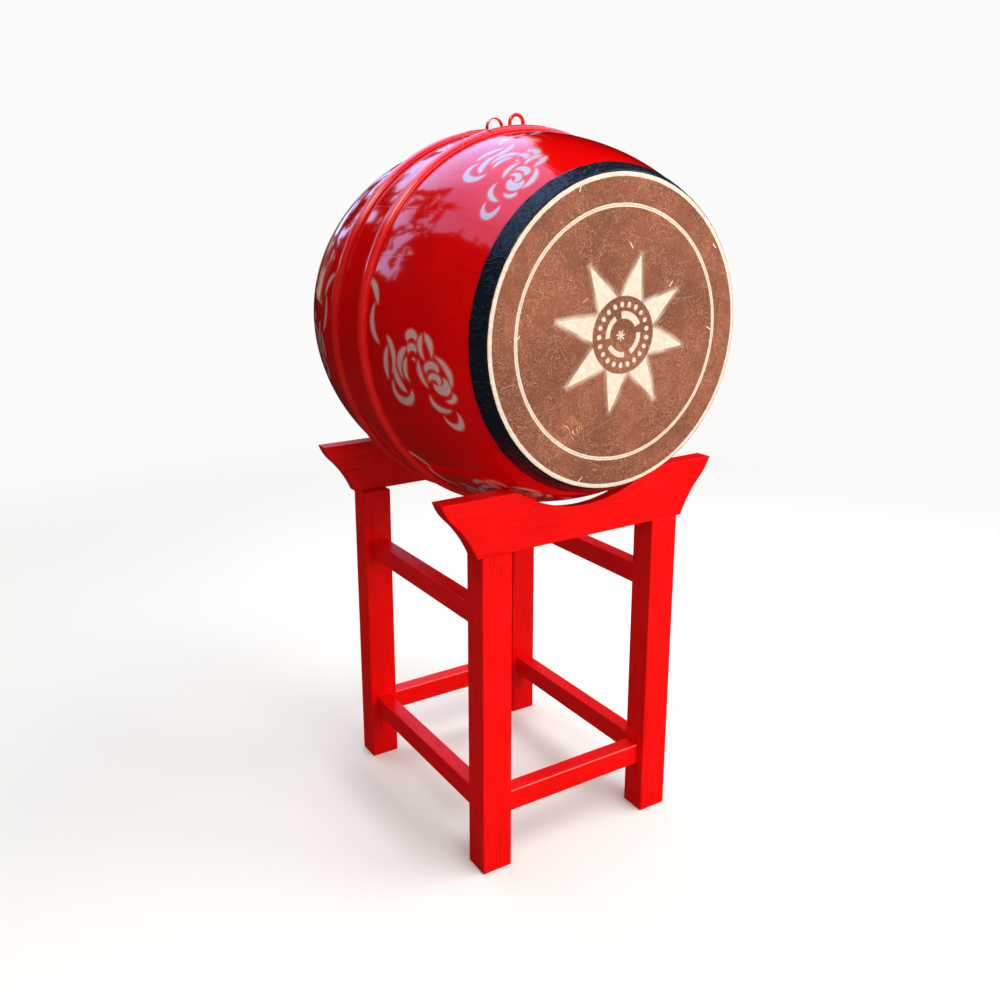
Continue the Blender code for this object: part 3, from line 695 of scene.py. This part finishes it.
def head_surface(side):
    """Out over the face, round the rim, down the lumpy lap, and back inside it to the middle.  The
    lumps are products of sines of the angle and of the depth below the face."""
    lap_end, rim = DRUM_HALF - BAND_WIDTH, DRUM_HALF - RIM_ROUND
    corner = barrel_radius(DRUM_HALF) + SEAT_GAP + HIDE_THICKNESS
    below = barrel_radius(rim) + SEAT_GAP + HIDE_THICKNESS
    face = np.linspace(PLUG, corner - RIM_ROUND, FACE_ROWS)
    t = np.linspace(0.0, 1.0, BEND_ROWS + 1)[1:]
    bend_r = (1 - t) ** 2 * (corner - RIM_ROUND) + 2 * t * (1 - t) * corner + t * t * below
    bend_y = (1 - t ** 2) * DRUM_HALF + t * t * rim
    lap_y = np.linspace(rim, lap_end + 0.0006, LAP_ROWS + 1)[1:]
    share = (rim - lap_y) / (rim - lap_end)
    lap_r = barrel_radius(lap_y) + SEAT_GAP + HIDE_THICKNESS + (BAND_EDGE - HIDE_THICKNESS) * share
    under_y = np.linspace(lap_end, STAVE_HALF - RIM_CHAMFER, UNDER_ROWS)
    under_r = barrel_radius(under_y) + SEAT_GAP
    back = np.linspace(RIM_RADIUS - RIM_CHAMFER + SEAT_GAP, PLUG, UNDER_ROWS)
    edge_r = barrel_radius(lap_end) + SEAT_GAP + BAND_EDGE * 0.55
    radius = np.concatenate([face, bend_r, lap_r, [edge_r], under_r, back])
    y = np.concatenate([np.full(FACE_ROWS, DRUM_HALF), bend_y, lap_y, [lap_end], under_y,
                        np.full(UNDER_ROWS, DRUM_HALF - HIDE_THICKNESS)])
    loose = np.concatenate([np.zeros(FACE_ROWS), t ** 2, np.ones(LAP_ROWS), [0.4],
                            np.zeros(2 * UNDER_ROWS)])[:, None]
    angle = np.linspace(0.0, 2 * math.pi, HEAD_STEPS, endpoint=False)
    a, s = np.meshgrid(angle, (DRUM_HALF - y) / BAND_WIDTH)
    shift = 1.7 * side
    lumps = (np.sin(23 * a + 5 * s + shift) * np.sin(9 * a - 4 * s) + np.sin(41 * a - 8 * s + shift)
             * np.sin(13 * a + 7 * s + 1.1) + np.sin(67 * a + 11 * s) * np.sin(5 * a + 2.0))
    swell = np.maximum(LAP_SWELL * lumps * loose, -0.0006)
    near_end = np.clip(4 * s - 3, 0.0, 1.0) * loose
    wander = EDGE_WANDER * (np.sin(17 * a + shift) + np.sin(31 * a)) * near_end
    return carried(round_drum(radius[:, None] + swell, a, side * (y[:, None] + wander)))


# One short curled hair in each cell of a Voronoi pattern: the place is turned at random about the
# cell's point, and the hair lies where the distance across it follows the square of that along it
curled_hair, given, result = new_group(
    "curled_hair", {"Place": "Vector", "Scale": "Float", "Length": "Float", "Width": "Float",
                    "Curl": "Float"}, {"Mask": "Float"})
tree = curled_hair
cell = put(tree, "TexVoronoi", {"Vector": given["Place"], "Scale": given["Scale"]},
           voronoi_dimensions="2D").outputs
offset = vector_calc(tree, "SUBTRACT", given["Place"], cell["Position"])
turn, curl, bright = put(tree, "SeparateColor", {0: cell["Color"]}).outputs
turned = put(tree, "VectorRotate", {"Vector": offset, "Angle": times(tree, turn, 2 * math.pi)},
             rotation_type="Z_AXIS").outputs[0]
along, aside, _ = split(tree, turned)
arched = times(tree, along, along, given["Curl"], times_plus(tree, curl, 2.0, -1.0))
thin = minus(tree, 1.0, calc(tree, "DIVIDE", apart(tree, aside, arched), given["Width"]))
short = minus(tree, 1.0, calc(tree, "DIVIDE", calc(tree, "ABSOLUTE", along), given["Length"]))
hair = times(tree, fade(tree, thin, 0.0, 0.7), fade(tree, short, 0.0, 0.4), fade(tree, bright, 0.1, 0.9))
feed(tree, result, {"Mask": hair})


def hairs_on(tree, place, scale, length, width, curl):
    """A layer of curled hairs or of marks like them."""
    return use(tree, curled_hair, {"Place": place, "Scale": scale, "Length": length, "Width": width,
                                   "Curl": curl})[0]


# How deep a place lies inside one ray of the star, whose sides bow out a little
star_ray, given, result = new_group(
    "star_ray", {"Place": "Vector", "Direction": "Vector", "Side": "Vector", "Length": "Float"},
    {"Depth": "Float"})
tree = star_ray
along = vector_calc(tree, "DOT_PRODUCT", given["Place"], given["Direction"])
aside = vector_calc(tree, "DOT_PRODUCT", given["Place"], given["Side"])
to_tip = minus(tree, given["Length"], along)
left = calc(tree, "DIVIDE", to_tip, minus(tree, given["Length"], HUB_RADIUS))
half_width = times(tree, calc(tree, "POWER", calc(tree, "MAXIMUM", left, 0.0), 0.86), RAY_HALF_WIDTH)
depth = calc(tree, "MINIMUM", minus(tree, half_width, calc(tree, "ABSOLUTE", aside)), along)
feed(tree, result, {"Depth": calc(tree, "MINIMUM", depth, to_tip)})


def turned_from(tree, angle, direction, step):
    """How far an angle is turned from a direction that comes again at each step."""
    past = calc(tree, "FLOORED_MODULO", calc(tree, "ADD", angle, step / 2 - direction), step)
    return minus(tree, past, step / 2)


def painted_hide():
    """Brown hide with fine curled hairs, cream rings and star, and glossy black on its lap, tinted blue as
    a painted sky reflection and darkened in its pits as painted shade.
    """
    finish, tree, shader, place = new_finish("painted_hide")
    x, y, z = split(tree, place)
    up = minus(tree, z, AXIS_HEIGHT)
    on_face = put(tree, "CombineXYZ", {"X": x, "Y": up}).outputs[0]
    coarse = noise(tree, place, 60.0, 2.0)
    ragged = times_plus(tree, noise(tree, place, 330.0, 3.0), 0.0014,
                        times_plus(tree, coarse, 0.0012, -0.0013))
    rough_radius = calc(tree, "ADD", vector_calc(tree, "LENGTH", on_face), ragged)

    # Two rings with ragged edges, and a brown line drawn round the inner one
    rings = greatest(tree, (times(tree, fade(tree, rough_radius, outer + 0.0004, outer - 0.0004),
                                  fade(tree, rough_radius, inner - 0.0004, inner + 0.0004))
                            for outer, inner in RINGS))
    line = fade(tree, apart(tree, rough_radius, sum(RINGS[1]) / 2), 0.0009, 0.0003)

    # The star's rays, with paint that drifted under the stencil round them
    star_place = vector_calc(tree, "SUBTRACT", on_face, (*STAR_CENTRE, 0.0))
    star_radius = vector_calc(tree, "LENGTH", star_place)
    star_x, star_y, _ = split(tree, star_place)
    star_angle = calc(tree, "ARCTAN2", star_y, star_x)
    rays = []
    for turn, length in RAYS:
        across, rise = math.cos(math.radians(turn)), math.sin(math.radians(turn))
        rays.append(use(tree, star_ray, {"Place": star_place, "Direction": (across, rise, 0.0),
                                         "Side": (-rise, across, 0.0), "Length": length})[0])
    deepest = calc(tree, "MINIMUM", greatest(tree, rays), minus(tree, star_radius, HUB_RADIUS))
    spray = times_plus(tree, noise(tree, place, 300.0, 3.0), 0.0012, -0.0006)
    star = fade(tree, calc(tree, "ADD", deepest, spray), -0.0009, 0.0009)
    halo = times(tree, fade(tree, deepest, -0.0105, 0.0),
                 fade(tree, star_radius, HUB_RADIUS - 0.001, HUB_RADIUS + 0.001),
                 fade(tree, noise(tree, on_face, 14.0, 1.0), 0.35, 0.62, 0.18, 0.72))

    # In the hub, a ring of dots, four curved bars and a small star
    dot_turn = turned_from(tree, star_angle, FIRST_DOT, 2 * math.pi / DOT_COUNT)
    dot_rise = times(tree, minus(tree, star_radius, DOT_RADIUS), 0.85)
    dot_place = put(tree, "CombineXYZ", {"X": times(tree, dot_turn, DOT_RADIUS), "Y": dot_rise}).outputs[0]
    dot_edge = times_plus(tree, coarse, 0.002, -0.001)
    dot_edge = calc(tree, "ADD", vector_calc(tree, "LENGTH", dot_place), dot_edge)
    marks = [fade(tree, dot_edge, 0.0053, 0.0036)]
    for turn, inner, outer, spread in HUB_BARS:
        off = calc(tree, "ABSOLUTE", turned_from(tree, star_angle, math.radians(turn), 2 * math.pi))
        middle = (inner + outer) / 2
        to_side = minus(tree, (outer - inner) / 2, apart(tree, star_radius, middle))
        to_end = times(tree, minus(tree, math.radians(spread), off), middle)
        depth = calc(tree, "ADD", calc(tree, "MINIMUM", to_side, to_end), spray)
        marks.append(fade(tree, depth, -0.0010, 0.0010))
    small_place = vector_calc(tree, "SUBTRACT", star_place, (*SMALL_STAR, 0.0))
    small_x, small_y, _ = split(tree, small_place)
    spikes = calc(tree, "SINE", times(tree, calc(tree, "ARCTAN2", small_y, small_x), SMALL_POINTS))
    spikes = times_plus(tree, spikes, 0.0040, times_plus(tree, coarse, 0.006, 0.0042))
    spikes = minus(tree, spikes, vector_calc(tree, "LENGTH", small_place))
    marks.append(fade(tree, spikes, -0.0008, 0.0008))
    faded = fade(tree, noise(tree, place, 120.0, 2.0), 0.2, 0.4, 0.8, 0.95)
    cream = greatest(tree, (rings, star, halo, times(tree, greatest(tree, marks), faded)))

    # Brown hide, warm and mottled in patches, under curled hairs, long scratches and pale chips
    hairs = greatest(tree, (
        hairs_on(tree, vector_calc(tree, "ADD", on_face, (shift, 1.7 * shift, 0.0)), *sizes, 110.0)
        for *sizes, shift in HAIRS))
    hairs = times(tree, hairs, fade(tree, noise(tree, on_face, 16.0, 3.0), 0.34, 0.62, 0.25))
    scratches = times(tree, hairs_on(tree, on_face, 13.0, 0.055, 0.0005, 3.0),
                      fade(tree, noise(tree, on_face, 40.0), 0.4, 0.6, 0.1, 0.6))
    chips = hairs_on(tree, on_face, 7.0, 0.008, 0.0016, 20.0)
    dots = use(tree, specks, {"Place": place, "Scale": 170.0, "Share": 0.012})[0]
    pores = fade(tree, noise(tree, on_face, 480.0, 3.0), 0.36, 0.66)
    warm = fade(tree, noise(tree, on_face, 5.0, 3.0), 0.38, 0.62)
    mottle = fade(tree, noise(tree, on_face, 38.0, 5.0), 0.35, 0.68)
    brown = mixed(tree, warm, colour(104, 58, 40), colour(142, 82, 56))
    brown = mixed(tree, times(tree, mottle, 0.5), brown, colour(92, 51, 38))
    brown = mixed(tree, times(tree, pores, 0.45), brown, colour(160, 98, 70))
    brown = mixed(tree, times(tree, hairs, 0.86), brown, colour(222, 162, 126))
    brown = mixed(tree, scratches, brown, colour(226, 178, 146))
    brown = mixed(tree, calc(tree, "MAXIMUM", dots, chips), brown, colour(240, 214, 186))

    # A whorl where the hair lay in waves, low on the left of the face
    whorl_place = vector_calc(tree, "SUBTRACT", on_face, (*WHORL_PLACE, 0.0))
    turned = put(tree, "VectorRotate", {"Vector": whorl_place, "Angle": WHORL_TURN}, rotation_type="Z_AXIS")
    whorl_x, whorl_y, _ = split(tree, turned.outputs[0])
    whorl_far = calc(tree, "ADD", *(
        calc(tree, "POWER", calc(tree, "ABSOLUTE", calc(tree, "DIVIDE", way, size)), 2.0)
        for way, size in zip((whorl_x, whorl_y), WHORL_SIZE)))
    strands = times_plus(tree, noise(tree, whorl_place, 32.0, 2.0), 34.0, times(tree, whorl_x, 1150.0))
    whorl = times(tree, fade(tree, calc(tree, "SINE", strands), 0.1, 1.0), fade(tree, whorl_far, 1.0, 0.3),
                  fade(tree, noise(tree, whorl_place, 70.0, 2.0), 0.38, 0.60))
    brown = mixed(tree, times(tree, whorl, 0.70), brown, colour(236, 170, 116))

    # Cream paint, clouded and a little stained, through which the hide's grain shows
    cloudy = fade(tree, noise(tree, place, 130.0, 4.0), 0.3, 0.7)
    milk = mixed(tree, cloudy, colour(214, 197, 177), colour(230, 214, 196))
    milk = mixed(tree, times(tree, line, 0.75), milk, colour(168, 124, 96))
    stains = use(tree, specks, {"Place": place, "Scale": 90.0, "Share": 0.06})[0]
    milk = mixed(tree, times(tree, stains, rings, 0.6), milk, colour(150, 100, 76))
    thin = fade(tree, noise(tree, on_face, 260.0, 4.0), 0.34, 0.50, 0.84, 0.98)
    face = mixed(tree, times(tree, cream, thin), brown, milk)

    # The black lap, wrinkled where it is worn, with a row of pits toward its edge.  Its black is
    # tinted blue, a painted reflection of the sky, and the pits are painted near black as painted shade.
    depth = minus(tree, DRUM_HALF, calc(tree, "ABSOLUTE", y))
    lap = calc(tree, "MAXIMUM", fade(tree, rough_radius, RINGS[0][0] - 0.0003, RINGS[0][0] + 0.0005),
               fade(tree, depth, 0.004, 0.005))
    round_it = times(tree, calc(tree, "ARCTAN2", x, up), RIM_RADIUS)
    on_lap = put(tree, "CombineXYZ", {"X": round_it, "Y": depth}).outputs[0]
    more = vector_calc(tree, "ADD", on_lap, (0.37, 0.21, 0.0))
    ridges = calc(tree, "MAXIMUM", hairs_on(tree, on_lap, 95.0, 0.007, 0.0014, 110.0),
                  hairs_on(tree, more, 75.0, 0.010, 0.0017, 75.0))
    row = calc(tree, "ADD", depth, times_plus(tree, coarse, 0.008, -0.004))
    row = fade(tree, apart(tree, row, PIT_ROW), 0.0045, 0.0015)
    pits = times(tree, use(tree, specks, {"Place": place, "Scale": 82.0, "Share": 0.75})[0], row)
    worn = fade(tree, noise(tree, on_lap, 9.0, 2.0), 0.42, 0.60)
    lap_height = times(tree, noise(tree, on_lap, 300.0, 3.0), 0.00012)
    lap_height = times_plus(tree, noise(tree, on_lap, 60.0, 3.0), 0.0011, lap_height)
    lap_height = times_plus(tree, times(tree, ridges, worn), 0.0048, lap_height)
    lap_height = times_plus(tree, pits, -0.0035, lap_height)
    # Blue-black with a painted sky reflection, near black in the pits as painted shade in them
    lap_black_with_painted_sky_and_shade = mixed(tree, pits, colour(18, 25, 34), colour(2, 2, 2))

    face_height = times(tree, noise(tree, on_face, 420.0, 3.0), 0.00016)
    face_height = times_plus(tree, hairs, 0.00020, face_height)
    face_height = times_plus(tree, whorl, 0.0003, face_height)
    face_height = between(tree, cream, face_height, times(tree, pores, 0.00003))
    feed(tree, shader, {"Base Color": mixed(tree, lap, face, lap_black_with_painted_sky_and_shade),
                        "Roughness": between(tree, lap, 0.66, 0.22),
                        "Normal": relief(tree, between(tree, lap, face_height, lap_height))})
    return finish


hide = painted_hide()
for end, side in (("front", -1), ("rear", 1)):
    new_piece(f"{end}_hide_head", head_surface(side), hide, "drum", "hide", f"{end}_head", crease=60)


# Legs and stretchers
# Square posts and rails of solid wood, tenoned together, brushed with thick red paint that lets
# the grain show.  They keep their own solids.
def grain_group():
    """Long streaks of grain: noise drawn out along the board and folded to and fro, whose turning
    points are the dark lines."""
    group, given, result = new_group("wood_grain", {"Place": "Vector", "Stretch": "Vector"},
                                     {"Lines": "Float", "Height": "Float"})
    place = put(group, "Mapping", {"Vector": given["Place"], "Scale": given["Stretch"]}).outputs[0]
    bands = noise(group, place, 16.0, 3.0, 0.6)
    fine = noise(group, place, 240.0, 3.0)
    lines = fade(group, calc(group, "PINGPONG", times(group, bands, 13.0), 0.5), 0.14, 0.0)
    thin = fade(group, calc(group, "PINGPONG", times(group, bands, 37.0), 0.5), 0.25, 0.0)
    lines = calc(group, "MAXIMUM", lines, times(group, thin, 0.5))
    uneven = fade(group, noise(group, given["Place"], 11.0), 0.35, 0.6, 0.15, 0.8)
    pores = times(group, fade(group, fine, 0.60, 0.72), 0.4)
    height = times_plus(group, bands, 0.4, times(group, fine, 0.6))
    feed(group, result, {"Lines": calc(group, "MAXIMUM", times(group, lines, uneven), pores),
                         "Height": height})
    return group


wood_grain = grain_group()


def painted_edge_highlight(tree, place):
    """Where the upper edges of the two rails that cross the stand get a pale painted highlight: the
    distance from an edge is the root of the squares of that across the rail and that above it."""
    low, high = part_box("rear_lower_stretcher")
    _, y, z = split(tree, place)
    across = apart(tree, calc(tree, "ABSOLUTE", y), (low[1] + high[1]) / 2)
    across = minus(tree, across, (high[1] - low[1]) / 2)
    above = minus(tree, z, high[2])
    square = times_plus(tree, across, across, times(tree, above, above))
    return fade(tree, calc(tree, "SQRT", square), 0.0024, 0.0010, 0.0, 0.7)


def red_paint(name, stretch, edge_highlight=False):
    """Brushed red paint over wood whose grain runs where the stretch is small, with or without a
    painted highlight on the upper edges of the cross rails.
    """
    finish, tree, shader, place = new_finish(name)
    grain = use(tree, wood_grain, {"Place": place, "Stretch": stretch})
    bits = use(tree, specks, {"Place": place, "Scale": 120.0, "Share": 0.06})[0]
    patches = fade(tree, noise(tree, place, 6.0, 4.0), 0.35, 0.7)
    red = mixed(tree, patches, colour(232, 4, 2), colour(250, 6, 3))
    red = mixed(tree, times(tree, grain["Lines"], 0.48), red, colour(158, 2, 3))
    if edge_highlight:
        # A pale pink painted highlight along the upper edges, where a rounded edge would catch the light
        red = mixed(tree, painted_edge_highlight(tree, place), red, colour(255, 128, 112))
    red = mixed(tree, times(tree, bits, 0.5), red, colour(90, 4, 6))
    height = times(tree, noise(tree, place, 30.0, 2.0), 0.0004)
    height = times_plus(tree, grain["Height"], 0.0009, height)
    height = times_plus(tree, grain["Lines"], -0.0003, height)
    rough = fade(tree, grain["Height"], 0.3, 0.7, 0.40, 0.30)
    feed(tree, shader, {"Base Color": red, "Roughness": rough, "Normal": relief(tree, height),
                        "Specular IOR Level": 0.20})
    return finish


paint_up = red_paint("red_paint_posts", (1.0, 1.0, 0.06))
paint_along = red_paint("red_paint_side_rails", (1.0, 0.06, 1.0))
paint_across = red_paint("red_paint_cross_rails", (0.06, 1.0, 1.0), edge_highlight=True)
for name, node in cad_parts.items():
    if name.endswith("_leg"):
        finish = paint_up
    elif name in ("front_lower_stretcher", "rear_lower_stretcher"):
        finish = paint_across
    elif name.endswith("_stretcher"):
        finish = paint_along
    else:
        continue
    for k in range(len(node.material_slots)):
        node.material_slots[k].material = finish


# Saddle beams
# A thick board across each pair of legs, sawn hollow for the barrel, with a nose at each end that
# curves in to the leg.  Its edges are rubbed over before painting.
BEAM_TOP = 0.8355
BEAM_FOOT = 0.714
BEAM_OUTER = 0.293
BEAM_INNER = 0.254
TIP = (0.343, 0.8355)
NOSE_TURN = (0.318, 0.795)
FOOT = (0.2635, 0.714)
NOSE_BEND = math.radians(13.3)
HOLLOW_BEND = math.radians(11.1)
SADDLE_CENTRE = 1.0808
SADDLE_RADII = (0.30594, 0.29774)   # at the inner and the outer face
EASE = 0.0018
EASED = ((0.0, 1.0), (0.29, 0.29), (1.0, 0.0))      # a rounded edge: how far in and down, in EASEs
CURVE_STEPS, FLAT_ROWS, TOP_ROWS = 14, 46, 30


def bowed(start, end, bend, steps):
    """An arc that leaves its chord by the angle bend, to the left: its sine and cosine scaled."""
    (x0, z0), (x1, z1) = start, end
    turn = np.linspace(-bend, bend, steps + 1)
    along = 0.5 + np.sin(turn) / (2 * math.sin(bend))
    aside = (np.cos(turn) - math.cos(bend)) / (2 * math.sin(bend))
    return np.stack([x0 + (x1 - x0) * along - (z1 - z0) * aside,
                     z0 + (z1 - z0) * along + (x1 - x0) * aside], axis=-1)


def beam_surface(side):
    """Ruled between the underside and the top, row by row, with eased edges all round.  The top is
    flat for its first rows, and then follows the saddle's arc."""
    nose = bowed(TIP, NOSE_TURN, NOSE_BEND, CURVE_STEPS)
    hollow = bowed(FOOT, NOSE_TURN, HOLLOW_BEND, CURVE_STEPS)[::-1]
    nose[0] = (TIP[0] - 0.0006, TIP[1] - 0.0016)
    flat = np.linspace((FOOT[0] - 0.0008, BEAM_FOOT), (0.0, BEAM_FOOT), FLAT_ROWS)
    under = np.concatenate([nose, hollow[1:], flat])
    arc_rows = len(under) - TOP_ROWS
    share = np.concatenate([np.linspace(0.0, 1.0, TOP_ROWS), np.ones(arc_rows)])
    hollow_turn = np.concatenate([np.zeros(TOP_ROWS), np.linspace(0.0, 1.0, arc_rows + 1)[1:]])

    def over(y):
        """The top at one depth through the beam: the saddle tapers straight from face to face."""
        radius = np.interp(y, (BEAM_INNER, BEAM_OUTER), SADDLE_RADII)
        edge = math.asin(math.sqrt(radius ** 2 - (SADDLE_CENTRE - BEAM_TOP) ** 2) / radius)
        turn = edge * (1 - hollow_turn)
        x = np.where(hollow_turn > 0, radius * np.sin(turn),
                     TIP[0] + (radius * math.sin(edge) - TIP[0]) * share)
        z = np.where(hollow_turn > 0, SADDLE_CENTRE - radius * np.cos(turn), BEAM_TOP)
        return np.stack([x, z], axis=-1)

    ring = []
    for at_top, y, inward, steps in ((True, BEAM_OUTER, -1, EASED), (True, BEAM_INNER, 1, EASED[::-1]),
                                     (False, BEAM_INNER, 1, EASED), (False, BEAM_OUTER, -1, EASED[::-1])):
        for off, drop in steps:
            depth = y + inward * off * EASE
            tall = over(depth) - under
            eased = np.clip(drop * EASE / tall[:, 1], 0.0, 0.5)
            place = under + tall * (1 - eased if at_top else eased)[:, None]
            ring.append(np.insert(place, 1, side * depth, axis=1))
    half = np.stack(ring, axis=1)
    other = half[-2::-1] * (-1.0, 1.0, 1.0)
    return carried(np.concatenate([half, other]))


for end, side in (("front", -1), ("rear", 1)):
    new_piece(f"{end}_saddle_beam", beam_surface(side), paint_across, "stand", "red_paint",
              f"{end}_saddle", crease=20)
